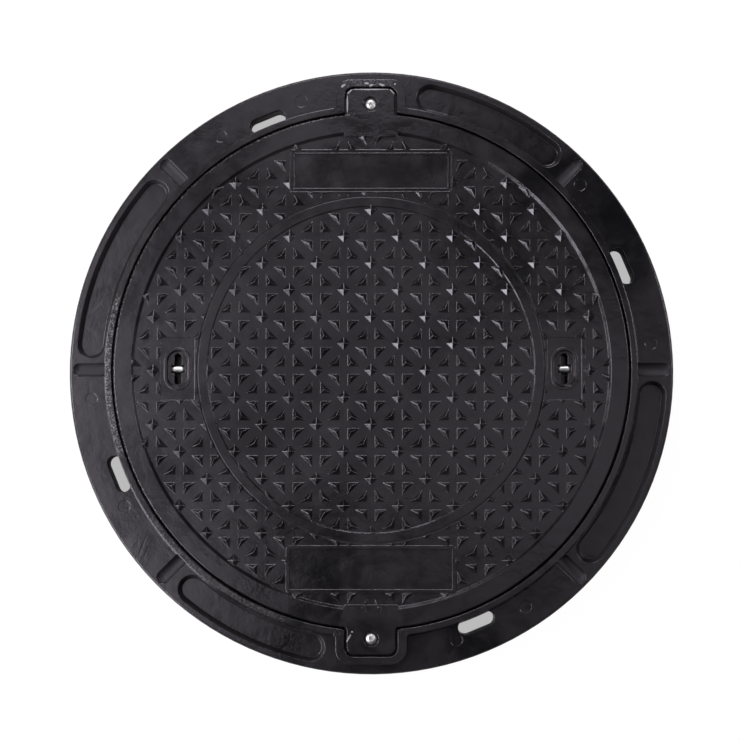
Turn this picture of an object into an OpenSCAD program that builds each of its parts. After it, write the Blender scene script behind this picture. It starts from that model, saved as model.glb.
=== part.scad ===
// Round composite access cover in its frame, all sizes in millimetres.
// The frame stands on z = 0, the cover's two ears point along +Y and -Y,
// and the two lifting pockets lie on the X axis.

/* [Frame] */
// Outer diameter of the anchor flange
frame_d = 750; // [740:1:760]
// Height of the frame from its foot to the top of the collar
frame_h = 50; // [48:1:60]
// Height of the flange's upper face
flange_h = 30; // [28:1:31]
// Diameter of the clear opening
opening_d = 600; // [596:1:604]
// Height of the ledge that the cover rests on
seat_h = 20; // [18:1:21]
// Wall thickness of the frame moulding
frame_wall = 6; // [5:0.5:7]
// Radius of the collar's inner face
collar_in_r = 320.5; // [320:0.5:321]
// Radius of the collar's outer face at its top
collar_top_r = 328; // [327:0.5:329]
// Radius of the collar's outer face where it meets the flange
collar_foot_r = 331; // [330:0.5:332]
// Number of ribs under the flange
flange_ribs = 32; // [32:32:64]

/* [Anchor slots] */
// Length of each slot in the flange
slot_l = 47; // [44:1:48]
// Width of each slot
slot_w = 18; // [16:1:18]
// Radius on which the slots are centred
slot_r = 338; // [337:0.5:339]

/* [Flange relief] */
// Depth of the curved recesses in the flange
recess_depth = 9; // [6:1:10]
// Radial width of the recesses at the flange's face
recess_w = 35; // [32:1:36]
// Radius on which the recesses run
recess_r = 349.5; // [349:0.5:351]
// Width of the draft on the recess walls
recess_draft = 4; // [2:0.5:5]
// Width of the radial grooves
groove_w = 16; // [14:1:17]
// Radius of the grooves' round section
groove_section_r = 9; // [9:0.5:12]
// Radius at which the grooves' tips end
groove_end_r = 371.5; // [368:0.5:372]

/* [Cover] */
// Radius of the cover's disc
cover_r = 318; // [317:0.5:318.5]
// Thickness of the cover's top plate
plate_t = 7; // [6:0.5:8]
// Thickness of the cover's ribs
rib_t = 5; // [4:0.5:6]
// Height of the ribs' lower edges above the ground
rib_floor = 8; // [6:1:12]
// Depth of the tread field below the rim
field_drop = 3; // [2:0.5:3.5]
// Radius at which the tread field ends at the foot of the rim's wall
tread_r = 292.5; // [290:0.5:294]
// Width of the draft on the rim's inner wall
rim_draft = 3.5; // [2:0.5:4]
// Width of the chamfer round the cover's upper edge
edge_chamfer = 1.5; // [1:0.5:2]
// Inner radius of the plain ring in the tread
ring_in_r = 202.5; // [200:0.5:205]
// Outer radius of the plain ring in the tread
ring_out_r = 215.5; // [213:0.5:218]
// Height of the plain ring above the tread field
ring_rise = 1.2; // [0.8:0.2:1.6]
// Width of the groove along the ring's outer edge
groove_line_w = 2; // [1.4:0.2:2.4]

/* [Tread] */
// Spacing of the tread sites along X
tread_pitch_x = 33.6; // [33:0.1:34]
// Spacing of the tread sites along Y
tread_pitch_y = 33.3; // [33:0.1:34]
// Shift of the whole tread along Y
tread_shift = -1.8; // [-2.4:0.2:0]
// Height of the tread pyramids
tread_h = 4; // [3:0.5:5]
// Half diagonal of the square pyramids
diamond_half = 8.2; // [7:0.2:9]
// Leg length of the three-sided pyramids
wedge_leg = 14.5; // [12:0.5:15]
// Distance of a three-sided pyramid's square corner from its site's axes
wedge_gap = 4.9; // [4:0.1:6]

/* [Ears] */
// Width of the cover's ears
ear_w = 60.5; // [58:0.5:61]
// Distance of an ear's outer edge from the centre
ear_reach = 349.5; // [348:0.5:350.5]
// Thickness of an ear
ear_t = 15; // [12:1:15]
// Gap between an ear and the collar round it
ear_gap = 2.5; // [2:0.5:3]
// Distance of the lock screws from the centre
screw_y = 330; // [328:1:332]

/* [Name plates] */
// Width of the upper plate
top_plate_w = 201; // [190:1:210]
// Depth of the upper plate
top_plate_d = 54; // [50:1:58]
// Width of the lower plate
low_plate_w = 208; // [195:1:212]
// Depth of the lower plate
low_plate_d = 58; // [52:1:60]
// Distance of both plates from the centre
plate_y = 246; // [244:1:248]

/* [Lifting pockets] */
// Distance of the pockets from the centre
pocket_x = 238.5; // [237:0.5:239]
// Width of a pocket's flat pad
pad_w = 42; // [40:1:43]
// Length of a pocket's flat pad
pad_l = 77; // [72:1:80]
// Width of the key slot in a pocket
key_slot_w = 9; // [8:0.5:10]
// Length of the key slot
key_slot_l = 39; // [36:1:40]
// Diameter of the lifting pin
pin_d = 8; // [7:0.5:9]

/* [Fasteners] */
// Thread diameter of the lock screws
screw_d = 8; // [8:1:8]
// Diameter of the screw's button head
screw_head_d = 15.5; // [13:0.5:16]
// Height of the screw's button head
screw_head_h = 4.4; // [4:0.1:5]
// Length of the screw's shank
screw_l = 25; // [20:1:28]
// Outer diameter of the threaded inserts
insert_d = 12; // [11:0.5:13]
// Length of the threaded inserts
insert_l = 15; // [12:1:16]

/* [Hidden] */
$fn = 96;

// A cut starts and ends this far outside the faces that it opens.
over = 1;
frame_r = frame_d / 2;
opening_r = opening_d / 2;

// Frame: the hollow under the flange, the slots and the recesses
hollow_in_r = opening_r + frame_wall;
hollow_out_r = frame_r - frame_wall;
slot_turn = 22.5;
recess_spans = [[48.0, 80.6], [137.85, 177.65]];
recess_floor_t = 4;
recess_margin = 1.2;
recess_steps = 12;
turn_steps = 12;
turn_step = 180 / turn_steps;
groove_angles = [0, 45, 135, 180, 225, 315];
groove_rise = sqrt(pow(groove_section_r, 2) - pow(groove_w / 2, 2));
groove_pad_t = 4;

// Ear pockets in the collar
ear_floor_h = frame_h - ear_t - 1;
band_t = 9;
ear_pocket_w = ear_w + 2 * ear_gap;
ear_pocket_reach = ear_reach + ear_gap;
ear_band_w = ear_pocket_w + 2 * band_t + 3;
ear_band_reach = ear_pocket_reach + band_t;
ear_corner_r = 9;
ear_root_r = 6;
boss_d = insert_d + 12;
boss_floor_h = 6;

// Marks that the ejector pins of the mould leave on the flange
ejector_angles = [5.4, 41.5, 104.5, 122.7, 186, 209, 287.5, 303];
ejector_r = 349;
ejector_d = 15;
ejector_depth = 0.3;

// Cover: plate, skirt and ribs
rim_top = frame_h;
field_h = rim_top - field_drop;
ring_top = field_h + ring_rise;
pad_top = field_h - 0.6;
plate_under = field_h - plate_t;
ring_draft = 1.2;
rim_slope = rim_draft / field_drop;
skirt_t = 9;
skirt_foot_r = cover_r - 1;
hub_r = 22;
ring_floor = rib_floor + 2;
rib_circles = [60, 120, 180, 240];
rim_wall_r = opening_r - 14;
rim_under = seat_h + 8;
inner_rib_count = 12;
outer_rib_count = 24;
groove_line_depth = 2;
sink = 1;

// Tread: the lattice covers the whole field
tread_steps = ceil(tread_r / tread_pitch_y);
tread_inset = 4;

// Plates: sunk panels with raised borders
panel_h = field_h - 1;
border_h = field_h + 0.9;
top_border_w = 1.6;
top_border_gap = 2.4;
low_border_w = 4.5;
top_corner_r = 3;
low_corner_r = 5;

// Lifting pockets
lip_w = 33;
lip_l = 52.5;
lip_h = 1.2;
lip_t = 3;
dish_w = lip_w - 2 * lip_t;
dish_l = lip_l - 2 * lip_t;
dish_floor_h = field_h - 4.5;
dish_draft = 1.5;
cup_w = 44;
cup_l = 60;
cup_floor_h = 12;
cup_wall = 5;
cup_roof_t = 5;
notch_l = 17;
notch_w = 10;
pin_h = dish_floor_h - pin_d / 2 - 0.6;
pin_l = cup_w - 2;

// Fasteners
clearance_d = screw_d + 1.5;
counterbore_d = screw_head_d + 3.5;
counterbore_depth = screw_head_h + 0.4;
screw_seat_h = rim_top - counterbore_depth;
hex_across = 5.77;
hex_depth = 2.6;
insert_top_h = ear_floor_h;
insert_thread_d = screw_d;

function arc(cx, cy, r, from, to, steps) =
    [for (k = [0 : steps]) let (a = from + (to - from) * k / steps) [cx + r * cos(a), cy + r * sin(a)]];

// One ear's outline on a disc of radius disc_r, pointing along +Y, with rounded corners
// and a fillet of root_r where its sides meet the disc
function ear_points(disc_r, w, reach, corner_r, root_r) =
    let (
        half = w / 2,
        root_x = half + root_r,
        root_y = sqrt(pow(disc_r + root_r, 2) - pow(root_x, 2)),
        root_a = atan2(root_y, root_x)
    )
    concat(
        [[0.9 * root_x, 0.9 * root_y]],
        arc(root_x, root_y, root_r, root_a - 180, -180, 6),
        arc(half - corner_r, reach - corner_r, corner_r, 0, 90, 8),
        arc(corner_r - half, reach - corner_r, corner_r, 90, 180, 8),
        arc(-root_x, root_y, root_r, 0, -root_a, 6),
        [[-0.9 * root_x, 0.9 * root_y]]
    );

// Flat end of a body over ear_points as strips across the ear, seen from below or above
function ear_cap(n, from, below) =
    [for (k = [0 : n / 2 - 2])
        let (a = from + k, b = a + 1, c = from + n - 2 - k, d = c + 1)
        below ? [a, b, c, d] : [d, c, b, a]];

// Faces between two outlines of n points, the lower one starting at point from
function band_faces(n, from) =
    [for (k = [0 : n - 1]) [from + k, from + k + n, from + (k + 1) % n + n, from + (k + 1) % n]];

module both_ears() {
    for (turn = [0, 180])
        rotate(turn)
            children();
}

module both_pockets() {
    for (turn = [0, 180])
        rotate(turn)
            translate([pocket_x, 0, 0])
                children();
}

module stadium(l, w) {
    square([l - w, w], center = true);
    for (side = [-1, 1])
        translate([side * (l - w) / 2, 0])
            circle(d = w);
}

module rounded_rect(w, d, r) {
    square([w - 2 * r, d], center = true);
    square([w, d - 2 * r], center = true);
    for (x = [-1, 1], y = [-1, 1])
        translate([x * (w / 2 - r), y * (d / 2 - r)])
            circle(r = r);
}

// Section of the frame's flange, outer skirt, inner skirt and seat ledge
module channel_section() {
    polygon([
        [opening_r, 0], [hollow_in_r, 0], [hollow_in_r, seat_h - frame_wall],
        [collar_in_r, seat_h - frame_wall], [collar_in_r + 1, flange_h - frame_wall],
        [hollow_out_r, flange_h - frame_wall], [hollow_out_r, 0], [frame_r, 0],
        [frame_r, flange_h - 2], [frame_r - 2, flange_h],
        [collar_in_r, flange_h], [collar_in_r, seat_h], [opening_r, seat_h]
    ]);
}

module at_slots() {
    for (k = [0 : 3])
        rotate(slot_turn + 90 * k)
            translate([slot_r, 0, 0])
                rotate(90)
                    children();
}

// Closed outline of a kidney along the flange with round ends, half_w to each side of recess_r
function kidney_points(span, half_w) =
    let (
        first = recess_r * [cos(span[0]), sin(span[0])],
        last = recess_r * [cos(span[1]), sin(span[1])]
    )
    concat(
        arc(0, 0, recess_r + half_w, span[0], span[1], recess_steps),
        arc(last[0], last[1], half_w, span[1] + turn_step, span[1] + 180 - turn_step, turn_steps - 2),
        arc(0, 0, recess_r - half_w, span[1], span[0], recess_steps),
        arc(first[0], first[1], half_w, span[0] + 180 + turn_step, span[0] + 360 - turn_step, turn_steps - 2)
    );

// Angles between which a kidney's round ends have their centres
function end_centres(span) =
    let (end_turn = recess_w / 2 / recess_r * 180 / PI)
    [span[0] + end_turn, span[1] - end_turn];

// One recess with drafted walls, as the body that is taken out of the flange
module recess_cut(span) {
    half = recess_w / 2;
    low = kidney_points(end_centres(span), half - recess_draft);
    top = kidney_points(end_centres(span), half + recess_draft / recess_depth * over);
    n = len(low);
    polyhedron(
        points = concat([for (p = low) [p[0], p[1], flange_h - recess_depth]],
                        [for (p = top) [p[0], p[1], flange_h + over]]),
        faces = concat(kidney_cap(n, 0, true), kidney_cap(n, n, false), band_faces(n, 0))
    );
}

// Flat end of the recess body as strips across the kidney, seen from below or above
function kidney_cap(n, from, below) =
    [for (k = [0 : n / 2 - 2])
        let (a = from + (n + k - turn_steps / 2) % n, b = from + (n + k + 1 - turn_steps / 2) % n,
             c = from + (2 * n - k - 2 - turn_steps / 2) % n, d = from + (2 * n - k - 1 - turn_steps / 2) % n)
        below ? [a, b, c, d] : [d, c, b, a]];

// Thicker flange under each recess
module recess_bodies() {
    for (turn = [0, 180], span = recess_spans)
        rotate([0, 0, turn + span[0] - recess_margin])
            rotate_extrude(angle = span[1] - span[0] + 2 * recess_margin, $fn = 180)
                translate([collar_in_r + 2, flange_h - recess_depth - recess_floor_t])
                    square([hollow_out_r + 1 - collar_in_r - 2, recess_depth + recess_floor_t - 2]);
}

module recess_cuts() {
    for (turn = [0, 180], span = recess_spans)
        rotate(turn)
            recess_cut(span);
}

module groove_pads() {
    for (a = groove_angles)
        rotate(a)
            translate([(collar_foot_r + hollow_out_r) / 2, 0, flange_h - frame_wall - groove_pad_t / 2 + 0.5])
                cube([hollow_out_r - collar_foot_r + 2, groove_w + 6, groove_pad_t + 1], center = true);
}

module ejector_marks() {
    for (a = ejector_angles)
        rotate(a)
            translate([ejector_r, 0, flange_h - ejector_depth])
                cylinder(d = ejector_d, h = ejector_depth + over);
}

module groove_cuts() {
    tip_r = groove_end_r - groove_section_r;
    for (a = groove_angles)
        rotate(a)
            translate([0, 0, flange_h + groove_rise]) {
                translate([collar_foot_r - 6, 0, 0])
                    rotate([0, 90, 0])
                        cylinder(r = groove_section_r, h = tip_r - collar_foot_r + 6);
                translate([tip_r, 0, 0])
                    sphere(r = groove_section_r);
            }
}

module flange_rib() {
    translate([hollow_in_r - 1, -frame_wall / 2, 1])
        cube([hollow_out_r - hollow_in_r + 2, frame_wall, flange_h - frame_wall - 0.5]);
}

module collar_body() {
    translate([0, 0, flange_h - frame_wall / 2])
        cylinder(r = collar_foot_r, h = frame_wall / 2);
    translate([0, 0, flange_h])
        cylinder(r1 = collar_foot_r, r2 = collar_top_r, h = frame_h - flange_h);
    both_ears()
        translate([0, 0, ear_floor_h - frame_wall])
            linear_extrude(frame_h - ear_floor_h + frame_wall)
                polygon(ear_points(collar_foot_r - 1, ear_band_w, ear_band_reach,
                                   ear_corner_r + band_t, ear_root_r / 2));
}

module cover_space() {
    translate([0, 0, seat_h])
        cylinder(r = collar_in_r, h = frame_h);
    translate([0, 0, -over])
        cylinder(r = opening_r, h = frame_h);
    both_ears()
        translate([0, 0, ear_floor_h])
            linear_extrude(frame_h)
                polygon(ear_points(collar_in_r, ear_pocket_w, ear_pocket_reach,
                                   ear_corner_r + ear_gap, ear_root_r - ear_gap));
}

module insert_boss() {
    translate([0, screw_y, boss_floor_h])
        cylinder(d = boss_d, h = ear_floor_h - boss_floor_h - over);
    translate([-frame_wall / 2, hollow_in_r - 1, boss_floor_h])
        cube([frame_wall, hollow_out_r - hollow_in_r + 2, flange_h - frame_wall - boss_floor_h]);
}

module insert_hole() {
    translate([0, screw_y, insert_top_h - insert_l])
        cylinder(d = insert_d, h = insert_l + over);
    translate([0, screw_y, boss_floor_h + 4])
        cylinder(d = clearance_d, h = insert_top_h - insert_l - boss_floor_h);
}

module frame() {
    color([0.10, 0.10, 0.11])
        difference() {
            union() {
                difference() {
                    union() {
                        rotate_extrude($fn = 180)
                            channel_section();
                        for (k = [0 : flange_ribs - 1])
                            rotate((k + 0.5) * 360 / flange_ribs)
                                flange_rib();
                        at_slots()
                            linear_extrude(flange_h - frame_wall + 1)
                                stadium(slot_l + 2 * frame_wall, slot_w + 2 * frame_wall);
                        recess_bodies();
                        groove_pads();
                    }
                    at_slots()
                        translate([0, 0, -over])
                            linear_extrude(flange_h + 2 * over)
                                stadium(slot_l, slot_w);
                    recess_cuts();
                    groove_cuts();
                    ejector_marks();
                }
                collar_body();
                both_ears()
                    insert_boss();
            }
            cover_space();
            both_ears()
                insert_hole();
        }
}

// A pyramid whose four base corners lie on the site's axes
module diamond_pyramid() {
    deep = (tread_h + sink) / tread_h;
    half = diamond_half * deep;
    polyhedron(
        points = [[half, 0, -sink], [0, half, -sink], [-half, 0, -sink], [0, -half, -sink],
                  [0, 0, tread_h]],
        faces = [[0, 1, 2, 3], [1, 0, 4], [2, 1, 4], [3, 2, 4], [0, 3, 4]]
    );
}

// A three-sided pyramid on a right-angled triangle whose square corner is at the origin
module wedge_pyramid() {
    apex = wedge_leg * 0.31;
    deep = sink / tread_h;
    low = -apex * deep;
    far = wedge_leg + (wedge_leg - apex) * deep;
    polyhedron(
        points = [[low, low, -sink], [far, low, -sink], [low, far, -sink], [apex, apex, tread_h]],
        faces = [[0, 1, 2], [1, 0, 3], [2, 1, 3], [0, 2, 3]]
    );
}

// True where a point lies well inside a rectangle of size w by d round (cx, cy)
function deep_inside(p, cx, cy, w, d) =
    abs(p[0] - cx) < w / 2 - tread_inset && abs(p[1] - cy) < d / 2 - tread_inset;

// True where a pyramid centred on p reaches into the tread field
function in_field(p) =
    norm(p) < tread_r + 1
    && !deep_inside(p, 0, plate_y, top_plate_w, top_plate_d)
    && !deep_inside(p, 0, -plate_y, low_plate_w, low_plate_d)
    && !deep_inside([abs(p[0]), p[1]], pocket_x, 0, pad_w, pad_l);

module tread_site(i, j) {
    site = [tread_pitch_x * i, tread_pitch_y * j + tread_shift];
    wedge_out = sqrt(2) * (wedge_gap + wedge_leg / 3);
    translate([site[0], site[1], field_h])
        if ((i + j) % 2 == 0) {
            if (in_field(site))
                diamond_pyramid();
        } else
            for (turn = [0 : 90 : 270])
                if (in_field(site + wedge_out * [cos(turn + 45), sin(turn + 45)]))
                    rotate(turn)
                        translate([wedge_gap, wedge_gap, 0])
                            wedge_pyramid();
}

module tread() {
    for (i = [-tread_steps : tread_steps], j = [-tread_steps : tread_steps])
        tread_site(i, j);
}

// Everything over the plain areas: the ring, the rim, the plates and the pocket pads
module plain_cuts() {
    above = rim_top + tread_h + over;
    rotate_extrude($fn = 180)
        polygon([[ring_in_r, ring_top], [ring_out_r - groove_line_w, ring_top],
                 [ring_out_r - groove_line_w, ring_top - groove_line_depth],
                 [ring_out_r, ring_top - groove_line_depth],
                 [ring_out_r, above], [ring_in_r, above]]);
    rotate_extrude($fn = 180)
        polygon([[tread_r + rim_draft, rim_top], [ear_reach + 10, rim_top],
                 [ear_reach + 10, above], [tread_r + rim_draft, above]]);
    translate([0, plate_y, panel_h])
        linear_extrude(above - panel_h)
            rounded_rect(top_plate_w, top_plate_d, top_corner_r);
    translate([0, -plate_y, panel_h])
        linear_extrude(above - panel_h)
            rounded_rect(low_plate_w, low_plate_d, low_corner_r);
    both_pockets()
        translate([-pad_w / 2, -pad_l / 2, pad_top])
            cube([pad_w, pad_l, above - pad_top]);
}

module plate_border(w, d, t, r) {
    translate([0, 0, panel_h - 0.5])
        linear_extrude(border_h - panel_h + 0.5)
            difference() {
                rounded_rect(w, d, r);
                square([w - 2 * t, d - 2 * t], center = true);
            }
}

module plate_borders() {
    inset = 2 * (top_border_w + top_border_gap);
    translate([0, plate_y, 0]) {
        plate_border(top_plate_w, top_plate_d, top_border_w, top_corner_r);
        plate_border(top_plate_w - inset, top_plate_d - inset, top_border_w, top_corner_r);
    }
    translate([0, -plate_y, 0])
        plate_border(low_plate_w, low_plate_d, low_border_w, low_corner_r);
}

module pocket_body() {
    translate([0, 0, pad_top - 0.5])
        linear_extrude(lip_h + 0.5)
            rotate(90)
                stadium(lip_l, lip_w);
    translate([0, 0, cup_floor_h])
        linear_extrude(plate_under - cup_floor_h + 0.5)
            rotate(90)
                stadium(cup_l, cup_w);
}

module pocket_cuts() {
    slope = dish_draft / (pad_top + lip_h - dish_floor_h);
    rise = pad_top + lip_h + over - dish_floor_h;
    straight = dish_l - dish_w;
    floor_half = dish_w / 2 - dish_draft;
    // Dish with drafted walls: two cone ends and a tapered bar between them
    for (side = [-1, 1])
        translate([0, side * straight / 2, dish_floor_h])
            cylinder(r1 = floor_half, r2 = floor_half + slope * rise, h = rise);
    translate([0, straight / 2, dish_floor_h])
        rotate([90, 0, 0])
            linear_extrude(straight)
                polygon([[-floor_half, 0], [floor_half, 0],
                         [floor_half + slope * rise, rise], [-floor_half - slope * rise, rise]]);
    // Key slot and the notch across it, through the cup's roof
    translate([0, 0, dish_floor_h - cup_roof_t - over])
        linear_extrude(cup_roof_t + 2 * over) {
            rotate(90)
                stadium(key_slot_l, key_slot_w);
            square([notch_l, notch_w], center = true);
        }
    // Space in which the key turns under the pin
    translate([0, 0, cup_floor_h + cup_wall])
        linear_extrude(dish_floor_h - cup_roof_t - cup_floor_h - cup_wall)
            rotate(90)
                stadium(cup_l - 2 * cup_wall, cup_w - 2 * cup_wall);
    translate([-pin_l / 2, 0, pin_h])
        rotate([0, 90, 0])
            cylinder(d = pin_d, h = pin_l);
}

module cover_ribs() {
    rib_h = plate_under - rib_floor + 0.5;
    translate([0, 0, ring_floor])
        cylinder(r = hub_r, h = plate_under - ring_floor + 0.5);
    for (k = [0 : inner_rib_count - 1])
        rotate((k + 0.5) * 360 / inner_rib_count)
            translate([-rib_t / 2, hub_r - 2, rib_floor])
                cube([rib_t, rib_circles[1] - hub_r + 2, rib_h]);
    for (k = [0 : outer_rib_count - 1])
        rotate((k + 0.5) * 360 / outer_rib_count)
            translate([-rib_t / 2, rib_circles[1], rib_floor])
                cube([rib_t, rim_wall_r + rib_t / 2 - rib_circles[1], rib_h]);
}

// Section of the round plate with its circular ribs and the thick rim that steps down to the seat
module cover_section() {
    polygon(concat(
        [[0, field_h], [0, plate_under]],
        [for (r = rib_circles, p = [[-1, plate_under], [-1, ring_floor], [1, ring_floor], [1, plate_under]])
            [r + p[0] * rib_t / 2, p[1]]],
        [[rim_wall_r, plate_under], [rim_wall_r, ring_floor], [rim_wall_r + rib_t, ring_floor],
         [rim_wall_r + rib_t, rim_under], [cover_r - skirt_t, rim_under],
         [cover_r - skirt_t, seat_h], [skirt_foot_r, seat_h],
         [cover_r, plate_under], [cover_r, rim_top - edge_chamfer],
         [cover_r - edge_chamfer - over, rim_top + over], [tread_r + rim_draft + over * rim_slope, rim_top + over],
         [tread_r, field_h], [ring_out_r, field_h], [ring_out_r, ring_top + over],
         [ring_in_r + over, ring_top + over], [ring_in_r - ring_draft, field_h]]
    ));
}

// Ear with a chamfer round its upper edge
module cover_ear() {
    low = ear_points(cover_r - 1, ear_w, ear_reach, ear_corner_r, ear_root_r);
    top = ear_points(cover_r - 1 - edge_chamfer, ear_w - 2 * edge_chamfer, ear_reach - edge_chamfer,
                     ear_corner_r - edge_chamfer, ear_root_r + edge_chamfer);
    n = len(low);
    polyhedron(
        points = concat([for (p = low) [p[0], p[1], rim_top - ear_t]],
                        [for (p = low) [p[0], p[1], rim_top - edge_chamfer]],
                        [for (p = top) [p[0], p[1], rim_top]]),
        faces = concat(ear_cap(n, 0, true), ear_cap(n, 2 * n, false), band_faces(n, 0), band_faces(n, n))
    );
}

module ear_cuts() {
    translate([0, screw_y, rim_top - ear_t - over])
        cylinder(d = clearance_d, h = ear_t + 2 * over);
    translate([0, screw_y, screw_seat_h])
        cylinder(d = counterbore_d, h = counterbore_depth + over);
}

module cover() {
    color([0.12, 0.12, 0.13])
        difference() {
            union() {
                difference() {
                    union() {
                        rotate_extrude($fn = 180)
                            cover_section();
                        tread();
                    }
                    plain_cuts();
                }
                cover_ribs();
                both_ears()
                    cover_ear();
                plate_borders();
                both_pockets()
                    pocket_body();
            }
            both_pockets()
                pocket_cuts();
            both_ears()
                ear_cuts();
        }
}

module lock_screw() {
    dome_r = (pow(screw_head_d / 2, 2) + pow(screw_head_h, 2)) / (2 * screw_head_h);
    translate([0, screw_y, screw_seat_h]) {
        difference() {
            intersection() {
                cylinder(d = screw_head_d, h = screw_head_h - 0.5);
                translate([0, 0, screw_head_h - dome_r])
                    sphere(r = dome_r);
            }
            translate([0, 0, screw_head_h - 0.5 - hex_depth])
                cylinder(d = hex_across, h = hex_depth + over, $fn = 6);
        }
        translate([0, 0, -screw_l])
            cylinder(d = screw_d, h = screw_l + 0.5);
    }
}

module threaded_insert() {
    translate([0, screw_y, insert_top_h - insert_l])
        difference() {
            cylinder(d = insert_d, h = insert_l);
            translate([0, 0, -over])
                cylinder(d = insert_thread_d, h = insert_l + 2 * over);
        }
}

module lifting_pin() {
    translate([-pin_l / 2, 0, pin_h])
        rotate([0, 90, 0])
            cylinder(d = pin_d, h = pin_l);
}

module lock_screw_top() {
    color([0.80, 0.80, 0.80])
        lock_screw();
}

module lock_screw_bottom() {
    color([0.80, 0.80, 0.80])
        rotate(180)
            lock_screw();
}

module insert_top() {
    color([0.75, 0.60, 0.30])
        threaded_insert();
}

module insert_bottom() {
    color([0.75, 0.60, 0.30])
        rotate(180)
            threaded_insert();
}

module lifting_pin_left() {
    color([0.70, 0.70, 0.72])
        translate([-pocket_x, 0, 0])
            lifting_pin();
}

module lifting_pin_right() {
    color([0.70, 0.70, 0.72])
        translate([pocket_x, 0, 0])
            lifting_pin();
}

frame();
cover();
lock_screw_top();
lock_screw_bottom();
insert_top();
insert_bottom();
lifting_pin_left();
lifting_pin_right();
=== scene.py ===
"""Looks of a round composite access cover in its frame, in metres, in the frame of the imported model."""
import math

import bmesh
import bpy
from mathutils import Matrix, Vector


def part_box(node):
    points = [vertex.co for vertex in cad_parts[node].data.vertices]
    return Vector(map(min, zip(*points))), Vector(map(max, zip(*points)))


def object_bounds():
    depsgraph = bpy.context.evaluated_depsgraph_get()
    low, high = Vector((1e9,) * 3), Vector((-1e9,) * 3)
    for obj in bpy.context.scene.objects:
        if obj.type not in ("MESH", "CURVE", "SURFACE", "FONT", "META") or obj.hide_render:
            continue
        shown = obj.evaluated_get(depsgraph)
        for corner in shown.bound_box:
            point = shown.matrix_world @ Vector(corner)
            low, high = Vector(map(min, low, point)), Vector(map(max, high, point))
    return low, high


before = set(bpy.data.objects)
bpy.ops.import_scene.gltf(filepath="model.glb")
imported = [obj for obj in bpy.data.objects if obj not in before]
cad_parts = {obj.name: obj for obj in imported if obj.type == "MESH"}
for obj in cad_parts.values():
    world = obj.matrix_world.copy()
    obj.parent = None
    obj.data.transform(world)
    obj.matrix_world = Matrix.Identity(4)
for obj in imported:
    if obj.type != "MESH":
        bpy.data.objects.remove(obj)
CAD_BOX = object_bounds()

# Places on the object, in metres from its centre and up from the ground
# (the frame's collar ends level with the cover's top face)
OUTER_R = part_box("frame")[1][0]
COVER_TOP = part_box("frame")[1][2]
FLANGE_TOP = 0.030
COLLAR_FOOT_R = 0.331
GROOVE_Z = (0.0225, 0.0285)
TOP_FACES_Z = (0.044, 0.048)

# The photograph's frame and the camera that fits it
PICTURE_PX = 740
OBJECT_PX = 604
CENTRE_PX = (370.9, 368.5)
CAMERA_DISTANCE = 2.2
TILT_SOUTH_DEG = 4.1
TILT_EAST_DEG = 0.5
SENSOR_MM = 36.0
SIGHT_LIMIT = 50.0

# Colours
BLACK = (0.0035, 0.0033, 0.0038, 1.0)
BLACK_PALE = (0.0120, 0.0108, 0.0122, 1.0)
# Pale grey of wear on both mouldings, and of the highlights painted along the cover's rim and ears
WEAR_AND_HIGHLIGHT_GREY = (0.24, 0.235, 0.25, 1.0)
SHEEN_TINT = (0.93, 0.87, 1.0, 1.0)
STAINLESS = (0.66, 0.64, 0.66, 1.0)
STEEL = (0.80, 0.80, 0.81, 1.0)
BRASS = (0.70, 0.52, 0.24, 1.0)
# Painted shade that darkens a lifting pin outside its bright spot
PIN_PAINTED_SHADE = (0.05, 0.045, 0.04, 1.0)
WHITE = (1.0, 1.0, 1.0, 1.0)
SKY = (0.90, 0.88, 0.95, 1.0)
FLOOR_GREY = (0.55, 0.55, 0.56, 1.0)

# Skin of the moulding compound: shares of its cloudy tone, heights of its relief, rounding of its edges
CLOUD_SHARE = 0.65
PATCH_SHARE = 0.35
GRAIN_RELIEF = 0.4
MOTTLE_RELIEF = 0.8
PATCH_RELIEF = 4.5
EJECTOR_MARK_RELIEF = 0.8
RIPPLE_RELIEF = 9.0
RIPPLE_STRETCH = (0.35, 1.0, 1.0)
FLOW_MARK_EDGE = (1.2, 0.3)
RELIEF_STRENGTH = 0.25
RELIEF_DEPTH = 0.00035
SPECULAR = 0.56
FRAME_EDGE_R = 0.0016
COVER_EDGE_R = 0.0010
BEVEL_SAMPLES = 8

# Roughness of the two mouldings, and what each cause adds to it
FRAME_ROUGHNESS = 0.18
COVER_ROUGHNESS = 0.17
TONE_ROUGHNESS = 0.14
MOTTLE_ROUGHNESS = 0.10
WEAR_AND_HIGHLIGHT_ROUGHNESS = 0.15
GROOVE_ROUGHNESS = 0.45
DULL_ROUGHNESS = 0.60

# How much edges are worn, how ragged nicks and painted highlight lines are, and where one ends in its own
# half sizes
CHIPPED_WEAR = 0.5
EVEN_WEAR = 0.1
EDGE_WEAR = 0.45
NICK_AND_HIGHLIGHT_RAGGEDNESS = 1.2
NICK_AND_HIGHLIGHT_EDGE = (1.7, 1.3)

# Soft borders: scuffs and the painted rim highlight end over a share of a turn, all others over a length
SCUFF_AND_HIGHLIGHT_END_TURNS = 0.006
SCUFF_AND_HIGHLIGHT_SIDE = 0.0015
GROOVE_BORDER = 0.001
COLLAR_FOOT_BORDER = 0.0005
DULL_RING_BORDER = 0.0003
EJECTOR_MARK_BORDER = 0.0006
EJECTOR_MARK_HALF_LINE = 0.0004

# Metal: turning rings, stains, and the painted shade round the bright spot of a lifting pin (half sizes),
# which stands in for its highlight
RING_SCALE = 900.0
RING_STRENGTH = 0.12
RING_DEPTH = 0.0001
METAL_EDGE_R = 0.0004
SCREW_ROUGHNESS = 0.42
LIFTING_PIN_ROUGHNESS = 0.25
INSERT_ROUGHNESS = 0.30
STAIN_SHADE = 0.72
STAIN_ROUGHNESS = 0.15
PIN_SHADE_ROUGHNESS = 0.35
PIN_SHADE_RAGGEDNESS = 0.5
PIN_SHADE_EDGE = (0.95, 1.35)
LIFTING_PIN_BRIGHT_SPOT = (0.0062, 0.0048)

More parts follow.
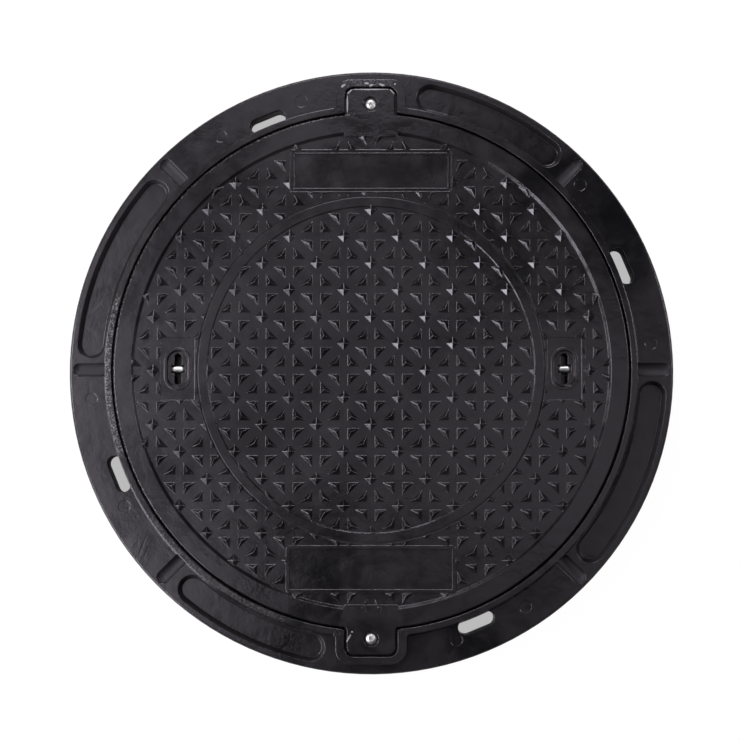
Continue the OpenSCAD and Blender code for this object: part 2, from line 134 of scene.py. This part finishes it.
# Wear on the frame: scuffs (from_deg, to_deg, inner_r, outer_r, amount), nicks and flow marks
# (x, y, length, width, turn_deg), marks of ejector pins (x, y, r)
FRAME_SCUFFS = (
    (165, 198, 0.322, 0.330, 0.65),
    (215, 250, 0.322, 0.330, 0.22),
    (87, 94, 0.352, 0.361, 0.35),
)
FRAME_NICKS = (
    (-0.0050, 0.3560, 0.006, 0.003, 0),
    (0.0005, 0.3535, 0.006, 0.003, 20),
    (0.0135, 0.3540, 0.008, 0.003, -15),
    (-0.0345, 0.3530, 0.007, 0.003, 35),
    (0.0300, 0.3550, 0.003, 0.002, 60),
)
FRAME_EJECTOR_MARKS = [(x, y, 0.0035) for x in (-0.0405, 0.0405) for y in (-0.3235, 0.3235)]
FRAME_FLOW_MARKS = ((-0.2867, -0.2229, 0.050, 0.036, 60),)

# Wear and painted highlights on the cover, in the same forms; dull rings are (inner_r, outer_r)
# A pale streak on the rim from north round to west, painted as the highlight of its rounded edge
COVER_RIM_HIGHLIGHT = ((95, 215, 0.3166, 0.3179, 0.5),)
# Pale lines along the edges of both ears, painted as highlights of their rounded edges
COVER_EAR_HIGHLIGHT_LINES = (
    (0.0000, 0.3485, 0.048, 0.0024, 0),
    (-0.0293, 0.3300, 0.024, 0.0022, 90),
    (-0.0265, 0.3455, 0.009, 0.0022, 45),
    (0.0265, 0.3455, 0.009, 0.0020, -45),
    (-0.0270, -0.3290, 0.012, 0.0022, 60),
    (-0.0230, -0.3215, 0.003, 0.0020, 0),
)
COVER_EJECTOR_MARKS = ((0.0, 0.2985, 0.0110), (0.0035, -0.2930, 0.0100))
COVER_DULL_RINGS = ((0.2136, 0.2154),)

# Softboxes that face the object: name, place, (level width, height), radiance
PANELS = (
    ("key left", (-1.18, -0.72, 0.90), (0.90, 0.42), 12.0),
    ("low left", (-1.20, -0.82, 0.20), (0.80, 0.30), 7.0),
    ("side left", (-1.42, 0.12, 1.15), (0.45, 0.80), 14.0),
    ("side back", (-0.10, 1.40, 0.90), (0.90, 0.45), 14.0),
    ("side right", (1.36, 0.35, 1.15), (0.45, 0.60), 10.0),
    ("side front", (1.05, -0.70, 1.15), (0.35, 0.25), 3.0),
)

# Softboxes overhead that face straight down: name, (x, y), (size along X, along Y), radiance
OVERHEAD_HEIGHT = 2.5
OVERHEADS = (
    ("overhead", (-0.30, 0.22), (1.00, 0.84), 0.48),
    ("overhead left", (-0.98, -0.05), (0.55, 1.60), 2.6),
    ("overhead front left", (-0.52, -0.45), (0.35, 0.35), 1.7),
    ("overhead back", (-0.35, 1.05), (1.20, 0.35), 1.4),
    ("overhead right", (0.55, -0.04), (0.62, 0.66), 0.62),
)

# Sky and floor: the floor under the object looks shaded to the camera, and white outside it
SKY_STRENGTH = 0.05
FLOOR_HALF_SIZE = 8.0
FLOOR_DROP = 0.0005
SHADE_EDGE_R = (OUTER_R - 0.008, OUTER_R - 0.002)
SHADE_BRIGHTNESS = 0.52
GLOW_BRIGHTNESS = 1.04
GLOW_SHARE = 0.94

# Stretch of heights that makes a distance one in plan
FLATTEN = 1000.0


# Node graphs

class Graph:
    """Builds a material's nodes; a value is a number, a colour or another node's socket."""

    def __init__(self, name):
        self.material = bpy.data.materials.new(name)
        self.material.use_nodes = True
        self.tree = self.material.node_tree
        self.tree.nodes.clear()
        self.coords = self.add("ShaderNodeTexCoord").outputs["Object"]

    def add(self, kind, inputs=None, **settings):
        node = self.tree.nodes.new(kind)
        for key, value in settings.items():
            setattr(node, key, value)
        for key, value in (inputs or {}).items():
            socket = node.inputs[key]
            if isinstance(value, bpy.types.NodeSocket):
                self.tree.links.new(value, socket)
            else:
                socket.default_value = value
        return node

    def calculate(self, operation, a, b=0.0, clamp=False):
        node = self.add("ShaderNodeMath", {0: a, 1: b}, operation=operation, use_clamp=clamp)
        return node.outputs[0]

    def times(self, first, *others):
        for other in others:
            first = self.calculate("MULTIPLY", first, other)
        return first

    def plus(self, a, b):
        return self.calculate("ADD", a, b)

    def step(self, value, low, high, to_low=0.0, to_high=1.0):
        """to_low at low, to_high at high, with a smooth change between them."""
        inputs = {"Value": value, "From Min": low, "From Max": high, "To Min": to_low, "To Max": to_high}
        return self.add("ShaderNodeMapRange", inputs, interpolation_type="SMOOTHSTEP").outputs["Result"]

    def window(self, value, low, high, soft):
        """1 where value lies between low and high, falling to 0 over soft."""
        rise = self.step(value, low - soft, low)
        fall = self.step(value, high, high + soft)
        return self.calculate("SUBTRACT", rise, fall, clamp=True)

    def noise(self, scale, detail=3.0, roughness=0.5, distortion=0.0, coords=None):
        inputs = {"Vector": coords or self.coords, "Scale": scale, "Detail": detail,
                  "Roughness": roughness, "Distortion": distortion}
        return self.add("ShaderNodeTexNoise", inputs).outputs["Fac"]

    def turned(self, turn_deg, scale):
        """Coordinates in a frame turned about the vertical axis, stretched by 1 / scale."""
        inputs = {"Vector": self.coords, "Rotation": (0.0, 0.0, math.radians(-turn_deg))}
        level = self.add("ShaderNodeMapping", inputs).outputs["Vector"]
        return self.add("ShaderNodeMapping", {"Vector": level, "Scale": scale}).outputs["Vector"]

    def mix(self, factor, a, b):
        node = self.add("ShaderNodeMix", {"Factor": factor, "A": a, "B": b}, data_type="RGBA")
        return node.outputs["Result"]

    def polar(self):
        """Radius, angle (0 to 1 turn, from +X towards +Y) and height of a point on the object."""
        split = self.add("ShaderNodeSeparateXYZ", {"Vector": self.coords}).outputs
        square = self.plus(self.times(split["X"], split["X"]), self.times(split["Y"], split["Y"]))
        angle = self.calculate("ARCTAN2", split["Y"], split["X"])
        turn = self.calculate("FRACT", self.calculate("DIVIDE", angle, 2 * math.pi))
        return self.calculate("SQRT", square), turn, split["Z"]

    def rounded(self, radius):
        """Normal of the surface with all its edges rounded off."""
        return self.add("ShaderNodeBevel", {"Radius": radius}, samples=BEVEL_SAMPLES).outputs["Normal"]

    def edges(self, rounded):
        """1 on convex and concave edges, 0 on flats."""
        true = self.add("ShaderNodeNewGeometry").outputs["Normal"]
        dot = self.add("ShaderNodeVectorMath", {0: rounded, 1: true}, operation="DOT_PRODUCT")
        return self.step(dot.outputs["Value"], low=0.99, high=0.80)

    def distance(self, x, y, stretch=(1.0, 1.0), turn_deg=0.0):
        """Distance in plan from a point, measured in a turned and stretched frame."""
        inputs = {"Vector": self.coords, "Location": (x, y, 0.0),
                  "Rotation": (0.0, 0.0, math.radians(turn_deg)), "Scale": (*stretch, FLATTEN)}
        turned = self.add("ShaderNodeMapping", inputs, vector_type="TEXTURE").outputs["Vector"]
        return self.add("ShaderNodeVectorMath", {0: turned}, operation="LENGTH").outputs["Value"]

    def finish(self, bump, strength, depth, normal, **inputs):
        """Closes the graph with a surface whose relief bump stands on normal."""
        given = {"Height": bump, "Strength": strength, "Distance": depth, "Normal": normal}
        inputs["Normal"] = self.add("ShaderNodeBump", given).outputs["Normal"]
        named = {key.replace("_", " "): value for key, value in inputs.items()}
        shader = self.add("ShaderNodeBsdfPrincipled", named)
        self.add("ShaderNodeOutputMaterial", {"Surface": shader.outputs["BSDF"]})
        return self.material


# Moulding compound

def wear_and_highlight_share(g, place, normal, scuffs_and_highlights, nicks_and_highlight_lines):
    """How far the surface is painted pale: wear of chipped edges, streaky scuffing on top faces and single
    nick marks, and on the cover the same forms painted as highlights along its rounded rim and ears.
    """
    radius, turn, height = place
    chips = g.step(g.noise(scale=260.0, detail=4.0, roughness=0.65, distortion=0.4), low=0.50, high=0.62)
    edge_wear = g.times(g.edges(normal), g.plus(g.times(chips, CHIPPED_WEAR), EVEN_WEAR))
    on_top = g.step(height, *TOP_FACES_Z)
    streaks = g.step(g.noise(scale=430.0, detail=4.0, roughness=0.65, distortion=0.3), low=0.47, high=0.68)
    marks = 0.0
    # On the frame these are scuffs from wear; on the cover the streak is a painted highlight of the rounded
    # rim
    for from_deg, to_deg, inner_r, outer_r, amount in scuffs_and_highlights:
        around = g.window(turn, from_deg / 360, to_deg / 360, SCUFF_AND_HIGHLIGHT_END_TURNS)
        across = g.window(radius, inner_r, outer_r, SCUFF_AND_HIGHLIGHT_SIDE)
        scuff_and_highlight = g.times(around, across, g.times(streaks, amount), on_top)
        marks = g.calculate("MAXIMUM", marks, scuff_and_highlight)
    ragged = g.times(g.noise(scale=700.0, detail=3.0, roughness=0.6), NICK_AND_HIGHLIGHT_RAGGEDNESS)
    # On the frame these are nicks from wear; on the cover the lines are painted highlights along the ears'
    # rounded edges
    for x, y, length, width, turn_deg in nicks_and_highlight_lines:
        away = g.plus(g.distance(x, y, (length / 2, width / 2), turn_deg), ragged)
        marks = g.calculate("MAXIMUM", marks, g.step(away, *NICK_AND_HIGHLIGHT_EDGE))
    return g.calculate("MAXIMUM", g.times(edge_wear, EDGE_WEAR), marks, clamp=True)


def gloss(g, place, roughness, tone, mottle, wear_and_highlight, dull_rings):
    """Roughness: paler places, places of wear and of painted highlight, and sunk places are duller."""
    radius, _, height = place
    rough = g.plus(g.times(tone, TONE_ROUGHNESS), roughness - TONE_ROUGHNESS / 2)
    rough = g.plus(rough, g.times(g.calculate("SUBTRACT", mottle, 0.5), MOTTLE_ROUGHNESS))
    rough = g.plus(rough, g.times(wear_and_highlight, WEAR_AND_HIGHLIGHT_ROUGHNESS))
    outside_collar = g.step(radius, COLLAR_FOOT_R - COLLAR_FOOT_BORDER, COLLAR_FOOT_R + COLLAR_FOOT_BORDER)
    in_groove = g.times(g.window(height, *GROOVE_Z, GROOVE_BORDER), outside_collar)
    rough = g.plus(rough, g.times(in_groove, GROOVE_ROUGHNESS))
    for inner_r, outer_r in dull_rings:
        dull = g.window(radius, inner_r, outer_r, DULL_RING_BORDER)
        rough = g.plus(rough, g.times(dull, DULL_ROUGHNESS))
    return rough


def relief(g, patch, mottle, ejector_marks, flow_marks):
    """Height of the moulded skin: grain, soft waviness, ejector marks, and ripples where the flow froze."""
    grain = g.noise(scale=1400.0, detail=2.0, roughness=0.6)
    height = g.plus(g.times(grain, GRAIN_RELIEF), g.times(mottle, MOTTLE_RELIEF))
    height = g.plus(height, g.times(patch, PATCH_RELIEF))
    for x, y, mark_r in ejector_marks:
        inner_r, outer_r = mark_r - EJECTOR_MARK_HALF_LINE, mark_r + EJECTOR_MARK_HALF_LINE
        ring = g.window(g.distance(x, y), inner_r, outer_r, EJECTOR_MARK_BORDER)
        height = g.plus(height, g.times(ring, EJECTOR_MARK_RELIEF))
    for x, y, length, width, turn_deg in flow_marks:
        here = g.step(g.distance(x, y, (length / 2, width / 2), turn_deg), *FLOW_MARK_EDGE)
        along = g.turned(turn_deg, RIPPLE_STRETCH)
        ripples = g.noise(scale=130.0, detail=2.0, roughness=0.4, distortion=1.0, coords=along)
        height = g.plus(height, g.times(ripples, here, RIPPLE_RELIEF))
    return height


def composite(name, roughness, edge_r, scuffs_and_highlights, nicks_and_highlight_lines, ejector_marks, dull_rings=(), flow_marks=()):
    """Black moulding compound: cloudy tone, fine grain, edges rounded by edge_r, and its wear, whose marks
    on the cover are painted highlights.
    """
    g = Graph(name)
    place = g.polar()
    cloud = g.noise(scale=9.0, detail=4.0, roughness=0.55, distortion=0.6)
    patch = g.noise(scale=45.0, detail=3.0, roughness=0.5, distortion=0.3)
    mottle = g.noise(scale=320.0, detail=3.0, roughness=0.55)
    tone = g.step(g.plus(g.times(cloud, CLOUD_SHARE), g.times(patch, PATCH_SHARE)), low=0.35, high=0.65)
    normal = g.rounded(edge_r)
    # Pale share: wear, and on the cover painted highlights along its rim and ears
    wear_and_highlight = wear_and_highlight_share(g, place, normal, scuffs_and_highlights, nicks_and_highlight_lines)
    colour = g.mix(wear_and_highlight, g.mix(tone, BLACK, BLACK_PALE), WEAR_AND_HIGHLIGHT_GREY)
    rough = gloss(g, place, roughness, tone, mottle, wear_and_highlight, dull_rings)
    height = relief(g, patch, mottle, ejector_marks, flow_marks)
    return g.finish(height, RELIEF_STRENGTH, RELIEF_DEPTH, normal, Base_Color=colour, Roughness=rough,
                    Specular_IOR_Level=SPECULAR, Specular_Tint=SHEEN_TINT)


# Metal

def turned_metal(name, colour, roughness, centre=(0.0, 0.0), bright_spot=None):
    """Bright metal with fine turning rings round centre, darkened by painted shade outside bright_spot,
    which stays bright as a painted highlight.
    """
    g = Graph(name)
    moved = g.add("ShaderNodeMapping", {"Vector": g.coords, "Location": (-centre[0], -centre[1], 0.0)})
    inputs = {"Vector": moved.outputs["Vector"], "Scale": RING_SCALE, "Distortion": 1.5, "Detail": 2.0}
    rings = g.add("ShaderNodeTexWave", inputs, wave_type="RINGS", rings_direction="Z").outputs["Fac"]
    stain = g.noise(scale=500.0, detail=3.0, roughness=0.6)
    stained = (*(STAIN_SHADE * channel for channel in colour[:3]), 1.0)
    tint = g.mix(g.step(stain, low=0.45, high=0.7), colour, stained)
    rough = g.plus(g.times(stain, STAIN_ROUGHNESS), roughness)
    # Painted shade darkens the pin outside bright_spot, leaving the spot as a painted highlight
    if bright_spot:
        away = g.plus(g.distance(*centre, bright_spot), g.times(stain, PIN_SHADE_RAGGEDNESS))
        painted_shade = g.step(away, *PIN_SHADE_EDGE)
        tint = g.mix(painted_shade, tint, PIN_PAINTED_SHADE)
        rough = g.plus(rough, g.times(painted_shade, PIN_SHADE_ROUGHNESS))
    return g.finish(rings, RING_STRENGTH, RING_DEPTH, g.rounded(METAL_EDGE_R),
                    Base_Color=tint, Metallic=1.0, Roughness=rough)


# Pieces

def dress(node, material):
    for place in bpy.data.objects[node].material_slots:
        place.material = material


def centre_of(node):
    low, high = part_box(node)
    return (low[0] + high[0]) / 2, (low[1] + high[1]) / 2


def dress_pieces():
    dress("frame", composite("frame composite", FRAME_ROUGHNESS, FRAME_EDGE_R, FRAME_SCUFFS, FRAME_NICKS,
                             FRAME_EJECTOR_MARKS, flow_marks=FRAME_FLOW_MARKS))
    dress("cover", composite("cover composite", COVER_ROUGHNESS, COVER_EDGE_R, COVER_RIM_HIGHLIGHT, COVER_EAR_HIGHLIGHT_LINES,
                             COVER_EJECTOR_MARKS, dull_rings=COVER_DULL_RINGS))
    for node in ("lock_screw_top", "lock_screw_bottom"):
        dress(node, turned_metal(node + " steel", STAINLESS, SCREW_ROUGHNESS, centre_of(node)))
    for node in ("lifting_pin_left", "lifting_pin_right"):
        dress(node, turned_metal(node + " steel", STEEL, LIFTING_PIN_ROUGHNESS, centre_of(node),
                                 LIFTING_PIN_BRIGHT_SPOT))
    for node in ("insert_top", "insert_bottom"):
        dress(node, turned_metal(node + " brass", BRASS, INSERT_ROUGHNESS))


# Stage

def add_camera():
    """Camera of the photograph, a little south and east of straight above, aimed at the cover's top."""
    nearer = CAMERA_DISTANCE / (CAMERA_DISTANCE + COVER_TOP - FLANGE_TOP)
    span = nearer * 2 * OUTER_R * PICTURE_PX / OBJECT_PX
    per_px = span / PICTURE_PX
    half = PICTURE_PX / 2
    target = Vector(((half - CENTRE_PX[0]) * per_px, (CENTRE_PX[1] - half) * per_px, COVER_TOP))
    east = math.tan(math.radians(TILT_EAST_DEG))
    south = math.tan(math.radians(TILT_SOUTH_DEG))
    direction = Vector((east, -south, 1.0)).normalized()
    right = Vector((0.0, 1.0, 0.0)).cross(direction).normalized()
    up = direction.cross(right)
    camera = bpy.data.cameras.new("camera")
    camera.sensor_width = SENSOR_MM
    camera.lens = SENSOR_MM * CAMERA_DISTANCE / span
    camera.clip_end = SIGHT_LIMIT
    eye = bpy.data.objects.new("camera", camera)
    bpy.context.collection.objects.link(eye)
    eye.location = target + direction * CAMERA_DISTANCE
    eye.rotation_euler = Matrix((right, up, direction)).transposed().to_euler()
    bpy.context.scene.camera = eye


def add_softbox(name, place, size, brightness):
    """Softbox that faces straight down; brightness is its radiance."""
    lamp = bpy.data.lights.new(name, "AREA")
    lamp.shape = "RECTANGLE"
    lamp.size, lamp.size_y = size
    lamp.energy = brightness * math.pi * size[0] * size[1]
    holder = bpy.data.objects.new(name, lamp)
    bpy.context.collection.objects.link(holder)
    holder.location = place
    return holder


def add_lights():
    for name, place, size, brightness in PANELS:
        holder = add_softbox(name, place, size, brightness)
        direction = Vector(place).normalized()
        level = Vector((0.0, 0.0, 1.0)).cross(direction).normalized()
        holder.rotation_euler = Matrix((level, direction.cross(level), direction)).transposed().to_euler()
    for name, (x, y), size, brightness in OVERHEADS:
        add_softbox(name, (x, y, OVERHEAD_HEIGHT), size, brightness)


def add_world():
    """Faint sky that the camera sees as white."""
    world = bpy.data.worlds.new("studio")
    world.use_nodes = True
    tree = world.node_tree
    tree.nodes.clear()
    path = tree.nodes.new("ShaderNodeLightPath")
    soft = tree.nodes.new("ShaderNodeBackground")
    soft.inputs["Color"].default_value = SKY
    soft.inputs["Strength"].default_value = SKY_STRENGTH
    white = tree.nodes.new("ShaderNodeBackground")
    white.inputs["Color"].default_value = WHITE
    mix = tree.nodes.new("ShaderNodeMixShader")
    out = tree.nodes.new("ShaderNodeOutputWorld")
    tree.links.new(path.outputs["Is Camera Ray"], mix.inputs["Fac"])
    tree.links.new(soft.outputs[0], mix.inputs[1])
    tree.links.new(white.outputs[0], mix.inputs[2])
    tree.links.new(mix.outputs[0], out.inputs["Surface"])
    bpy.context.scene.world = world


def floor_material():
    """Pale and matt for the light; for the camera it glows white, darker where the object covers it."""
    g = Graph("floor")
    path = g.add("ShaderNodeLightPath")
    matt = g.add("ShaderNodeBsdfDiffuse", {"Color": FLOOR_GREY})
    shade = g.step(g.polar()[0], *SHADE_EDGE_R, SHADE_BRIGHTNESS, GLOW_BRIGHTNESS)
    glow = g.add("ShaderNodeEmission", {"Color": WHITE, "Strength": shade})
    share = g.times(path.outputs["Is Camera Ray"], GLOW_SHARE)
    mix = g.add("ShaderNodeMixShader", {0: share, 1: matt.outputs[0], 2: glow.outputs[0]})
    g.add("ShaderNodeOutputMaterial", {"Surface": mix.outputs[0]})
    return g.material


def add_floor():
    mesh = bpy.data.meshes.new("floor")
    shape = bmesh.new()
    bmesh.ops.create_grid(shape, x_segments=1, y_segments=1, size=FLOOR_HALF_SIZE)
    shape.to_mesh(mesh)
    shape.free()
    mesh.materials.append(floor_material())
    floor = bpy.data.objects.new("floor", mesh)
    bpy.context.collection.objects.link(floor)
    floor.location.z = CAD_BOX[0][2] - FLOOR_DROP


def main():
    bpy.context.scene.view_settings.view_transform = "Standard"
    add_camera()
    dress_pieces()
    add_world()
    add_floor()
    add_lights()


main()
